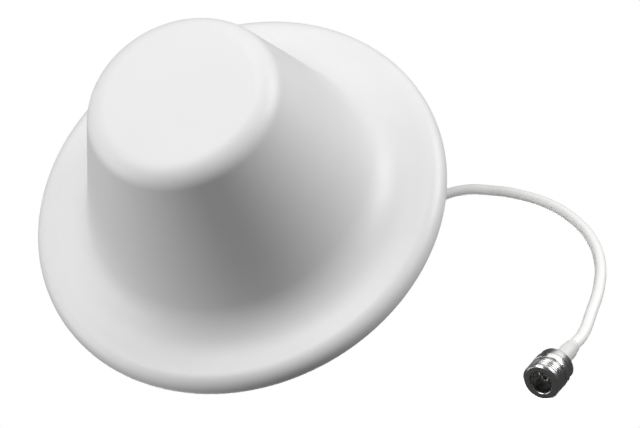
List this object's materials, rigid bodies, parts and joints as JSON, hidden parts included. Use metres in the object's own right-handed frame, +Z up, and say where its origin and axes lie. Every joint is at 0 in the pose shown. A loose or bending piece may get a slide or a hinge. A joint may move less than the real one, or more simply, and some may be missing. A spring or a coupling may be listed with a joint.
{
  "type": "indoor ceiling dome antenna",
  "caption": "White indoor dome antenna of a cellular signal booster: conical radome on a round brim, hollow threaded ceiling stud with nut, short coaxial lead with an N socket.",
  "frame": {"origin": "centre of the base plate's face that meets the ceiling, on the stud's axis", "axes": "+Z up along the stud, away from the crown; the dome hangs below z = 0; the lead leaves the stud's top and comes down on the -X side towards -Y"},
  "size_m": [0.2245, 0.2481, 0.1753],
  "materials": {
    "radome_plastic": "satin white ABS with a fine moulded texture",
    "stud_nylon": "satin white nylon",
    "foam": "closed-cell foam, dull",
    "zinc_steel": "bright zinc plate",
    "aluminium_sheet": "spun and rolled aluminium",
    "brass": "turned brass",
    "ptfe": "waxy white PTFE",
    "cable_jacket": "smooth white PVC jacket",
    "heat_shrink": "white heat-shrink sleeve",
    "grommet_rubber": "soft white rubber",
    "nickel": "bright nickel plate",
    "silver_contact": "silver plate on brass"
  },
  "bodies": {
    "root": {"radome_shell": "radome_plastic", "base_plate": "radome_plastic", "base_screw_1": "zinc_steel", "base_screw_2": "zinc_steel", "base_screw_3": "zinc_steel", "base_screw_4": "zinc_steel", "mounting_stud": "stud_nylon", "stud_screw_1": "zinc_steel", "stud_screw_2": "zinc_steel", "stud_screw_3": "zinc_steel", "foam_gasket": "foam", "ground_plane": "aluminium_sheet", "ground_screw_1": "zinc_steel", "ground_screw_2": "zinc_steel", "ground_screw_3": "zinc_steel", "ground_screw_4": "zinc_steel", "feed_bushing": "brass", "feed_dielectric": "ptfe", "feed_pin": "brass", "radiator_cone": "aluminium_sheet", "cone_cap": "aluminium_sheet", "shorting_post_1": "brass", "shorting_post_2": "brass", "shorting_post_3": "brass", "post_screw_1": "zinc_steel", "post_screw_2": "zinc_steel", "post_screw_3": "zinc_steel", "cable_lead_in": "cable_jacket", "stud_grommet": "grommet_rubber", "cable": "cable_jacket", "heat_shrink": "heat_shrink", "crimp_ferrule": "nickel", "connector_body": "nickel", "connector_insulator": "ptfe", "centre_contact": "silver_contact"},
    "washer": {"clamp_washer": "zinc_steel"},
    "nut": {"mounting_nut": "stud_nylon"}
  },
  "joints": [
    {"name": "washer_slide", "type": "slide", "parent": "root", "child": "washer", "axis": [0, 0, 1], "range_m": [0, 0.022]},
    {"name": "nut_spin", "type": "hinge", "parent": "washer", "child": "nut", "pos_m": [0, 0, 0.0079], "axis": [0, 0, 1], "range_deg": [0, 3150]}
  ],
  "couplings": [
    {"joint": "washer_slide", "follows": "nut_spin", "m_per_rad": 0.00039789}
  ]
}
